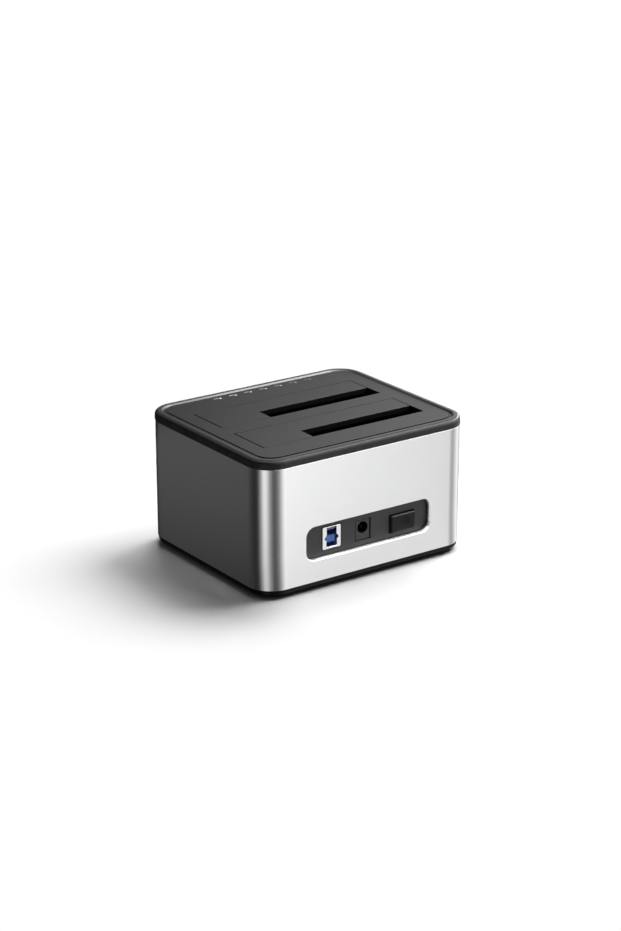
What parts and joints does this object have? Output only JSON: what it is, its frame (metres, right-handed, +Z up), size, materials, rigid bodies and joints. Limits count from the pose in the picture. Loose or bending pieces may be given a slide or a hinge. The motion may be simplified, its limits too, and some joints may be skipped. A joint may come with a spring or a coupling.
{
  "type": "hard drive docking station",
  "caption": "Free-standing docking station with sprung flaps over drive bays in its top, a metal sleeve, rear data and power sockets, a power button and status lights.",
  "frame": {"origin": "on the table under the middle of the sleeve", "axes": "+X along the drive slots, +Y out of the rear with the sockets, +Z up"},
  "size_m": [0.1344, 0.1138, 0.076],
  "materials": {
    "base_black": "satin moulded",
    "foot_rubber": "matt",
    "sleeve_aluminium": "satin anodised",
    "rim_black": "polished",
    "plate_grey": "fine grain",
    "hinge_steel": "drawn",
    "spring_steel": "drawn",
    "guide_black": "moulded",
    "board_green": "lacquered",
    "connector_black": "moulded",
    "contact_gold": "plated",
    "chip_black": "moulded",
    "coil_grey": "pressed",
    "can_black": "sleeved",
    "panel_black": "fine grain",
    "socket_metal": "plated",
    "socket_blue": "moulded",
    "jack_black": "moulded",
    "jack_pin_metal": "plated",
    "switch_white": "moulded",
    "button_black": "fine grain",
    "emitter_cream": "moulded",
    "pipe_clear": "polished",
    "header_cream": "moulded",
    "ribbon_grey": "flexible",
    "screw_steel": "plated"
  },
  "bodies": {
    "station": {"base_cover": "base_black", "rubber_foot_1": "foot_rubber", "rubber_foot_2": "foot_rubber", "rubber_foot_3": "foot_rubber", "rubber_foot_4": "foot_rubber", "aluminium_sleeve": "sleeve_aluminium", "top_cover": "rim_black", "top_plate": "plate_grey", "front_hinge_pin": "hinge_steel", "rear_hinge_pin": "hinge_steel", "front_flap_spring": "spring_steel", "rear_flap_spring": "spring_steel", "front_bay_guide": "guide_black", "rear_bay_guide": "guide_black", "main_board": "board_green", "front_drive_connector": "connector_black", "rear_drive_connector": "connector_black", "front_drive_contacts": "contact_gold", "rear_drive_contacts": "contact_gold", "bridge_chip": "chip_black", "power_coils": "coil_grey", "capacitors": "can_black", "rear_panel": "panel_black", "usb_shell": "socket_metal", "usb_insulator": "socket_blue", "usb_contacts": "contact_gold", "power_jack": "jack_black", "power_jack_pin": "jack_pin_metal", "power_switch": "switch_white", "light_board": "board_green", "light_emitters": "emitter_cream", "light_pipe_1": "pipe_clear", "light_pipe_2": "pipe_clear", "light_pipe_3": "pipe_clear", "light_pipe_4": "pipe_clear", "light_pipe_5": "pipe_clear", "light_pipe_6": "pipe_clear", "light_pipe_7": "pipe_clear", "cable_headers": "header_cream", "light_cable": "ribbon_grey", "base_screws": "screw_steel", "cover_screws": "screw_steel", "board_screws": "screw_steel", "panel_screws": "screw_steel", "light_board_screws": "screw_steel"},
    "front_flap": {"front_flap": "plate_grey"},
    "rear_flap": {"rear_flap": "plate_grey"},
    "power_button": {"power_button": "button_black"}
  },
  "joints": [
    {"name": "front_flap_hinge", "type": "hinge", "parent": "station", "child": "front_flap", "pos_m": [0, -0.0362, 0.0712], "axis": [-1, 0, 0], "range_deg": [0, 90], "stiffness_Nm_per_rad": 0.003, "springref_deg": -68.75, "deforming": ["front_flap_spring"]},
    {"name": "rear_flap_hinge", "type": "hinge", "parent": "station", "child": "rear_flap", "pos_m": [0, 0.0028, 0.0712], "axis": [-1, 0, 0], "range_deg": [0, 90], "stiffness_Nm_per_rad": 0.003, "springref_deg": -68.75, "deforming": ["rear_flap_spring"]},
    {"name": "power_button_slide", "type": "slide", "parent": "station", "child": "power_button", "axis": [0, -1, 0], "range_m": [0, 0.0014], "stiffness_N_per_m": 600, "springref_m": -0.001}
  ]
}
